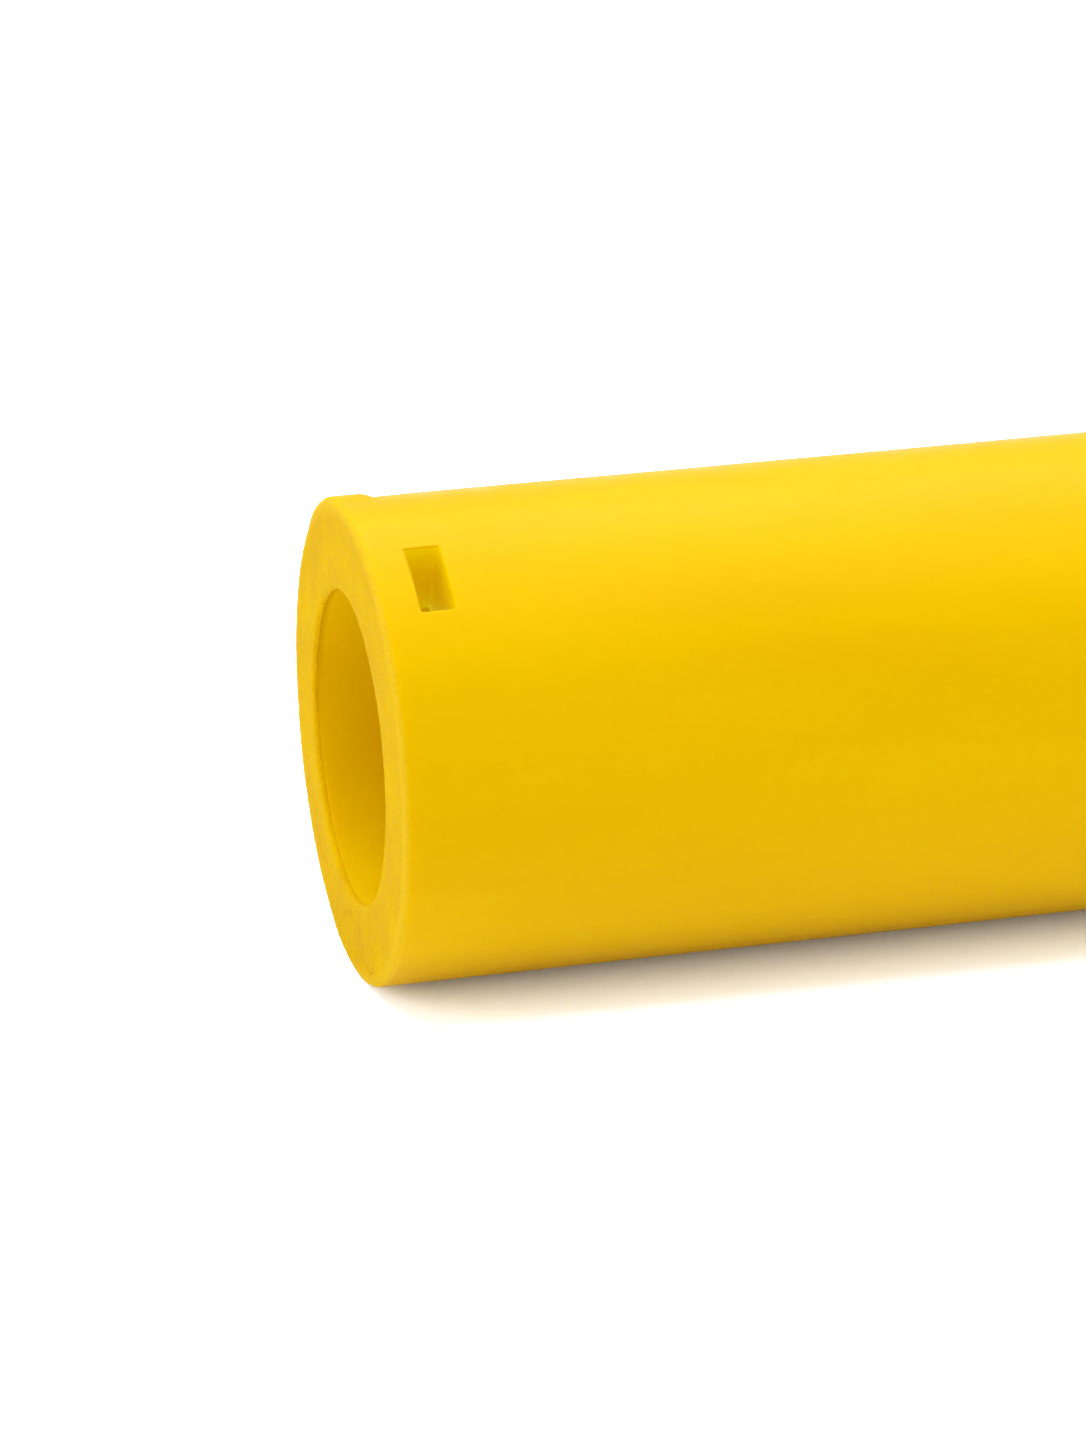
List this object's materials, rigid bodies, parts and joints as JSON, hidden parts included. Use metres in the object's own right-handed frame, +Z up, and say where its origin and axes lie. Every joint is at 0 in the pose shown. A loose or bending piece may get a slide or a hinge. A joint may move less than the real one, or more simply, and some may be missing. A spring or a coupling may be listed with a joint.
{
  "type": "rescue tube",
  "caption": "Thick-walled hollow foam rescue tube with strap slots at its ends, a load strap through its bore, D-rings and a swivel snap hook.",
  "frame": {"origin": "centre of the near end face, on the tube's axis", "axes": "+X along the tube to the far end and the hook, +Z up with the strap slots on top; the tube rests on z = -0.075"},
  "size_m": [1.252, 0.15, 0.1499],
  "materials": {
    "tube_foam": "matte closed-cell foam",
    "plug_foam": "matte closed-cell foam",
    "plate_plastic": "satin sheet plastic",
    "slide_plastic": "moulded, slightly textured",
    "washer_plastic": "smooth",
    "webbing": "woven nylon strap",
    "thread": "bonded thread",
    "ring_steel": "polished stainless wire",
    "hook_steel": "tumbled stainless casting",
    "gate_steel": "turned stainless",
    "spring_steel": "drawn wire"
  },
  "bodies": {
    "tube": {"foam_body": "tube_foam", "near_plug": "plug_foam", "near_plate": "plate_plastic", "near_slide": "slide_plastic", "near_stitching": "thread", "load_webbing": "webbing", "far_plug": "plug_foam", "far_plate": "plate_plastic", "far_slide": "slide_plastic", "far_stitching": "thread", "tow_loop": "webbing", "tow_stitching": "thread"},
    "near_ring_body": {"near_ring": "ring_steel"},
    "tow_ring_body": {"tow_ring": "ring_steel"},
    "eye": {"swivel_eye": "hook_steel"},
    "hook": {"hook_body": "hook_steel", "swivel_washer": "washer_plastic"},
    "gate": {"hook_gate": "gate_steel", "gate_pin": "gate_steel", "gate_spring": "spring_steel"}
  },
  "joints": [
    {"name": "near_ring_swing", "type": "hinge", "parent": "tube", "child": "near_ring_body", "pos_m": [0.052, 0, 0], "axis": [0, 1, 0], "range_deg": [-75, 255]},
    {"name": "tow_ring_swing", "type": "hinge", "parent": "tube", "child": "tow_ring_body", "pos_m": [1.033, 0, 0.0049], "axis": [0, -1, 0], "range_deg": [0, 198]},
    {"name": "hook_tilt", "type": "hinge", "parent": "tube", "child": "eye", "pos_m": [1.165, 0, -0.068], "axis": [0, -1, 0], "range_deg": [-60, 90]},
    {"name": "hook_swivel", "type": "hinge", "parent": "eye", "child": "hook", "pos_m": [1.165, 0, -0.068], "axis": [1, 0, 0], "continuous": true},
    {"name": "gate_swing", "type": "hinge", "parent": "hook", "child": "gate", "pos_m": [1.208, 0.0135, -0.068], "axis": [0, 0, -1], "range_deg": [0, 30], "stiffness_Nm_per_rad": 0.02, "springref_deg": -34.38}
  ]
}
